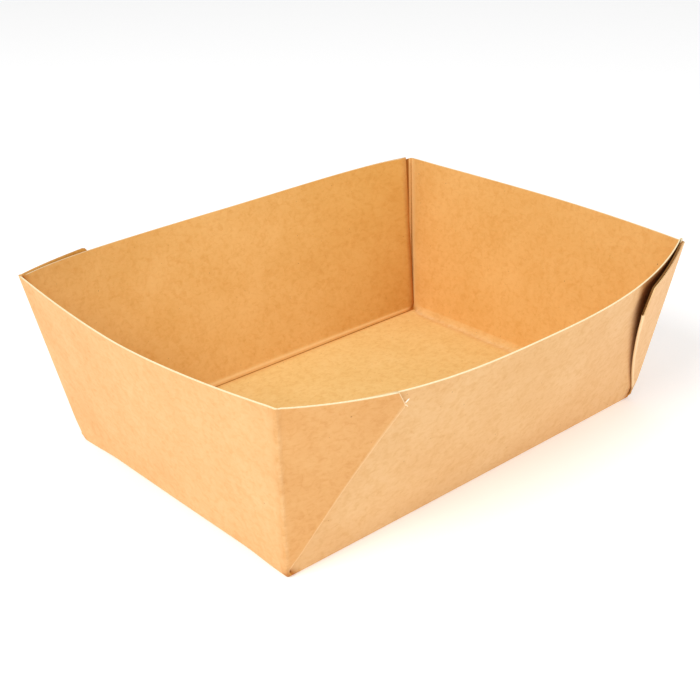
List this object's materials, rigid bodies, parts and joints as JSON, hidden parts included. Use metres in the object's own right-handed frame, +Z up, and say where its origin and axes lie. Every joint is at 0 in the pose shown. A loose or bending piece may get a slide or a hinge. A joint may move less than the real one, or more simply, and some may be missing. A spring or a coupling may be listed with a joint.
{
  "type": "folded food tray",
  "caption": "Rectangular kraft board food tray with flared, bowed walls and folded webs laid outside its long walls at the corners.",
  "frame": {"origin": "middle of the underside of the floor, on the surface that the tray stands on", "axes": "+X along the long walls, +Y across them towards the back long wall, +Z up out of the open top"},
  "size_m": [0.182, 0.1537, 0.0605],
  "materials": {
    "kraft_board": "matte, uncoated brown kraft board with fine fibres"
  },
  "bodies": {
    "root": {"tray": "kraft_board"}
  },
  "joints": []
}
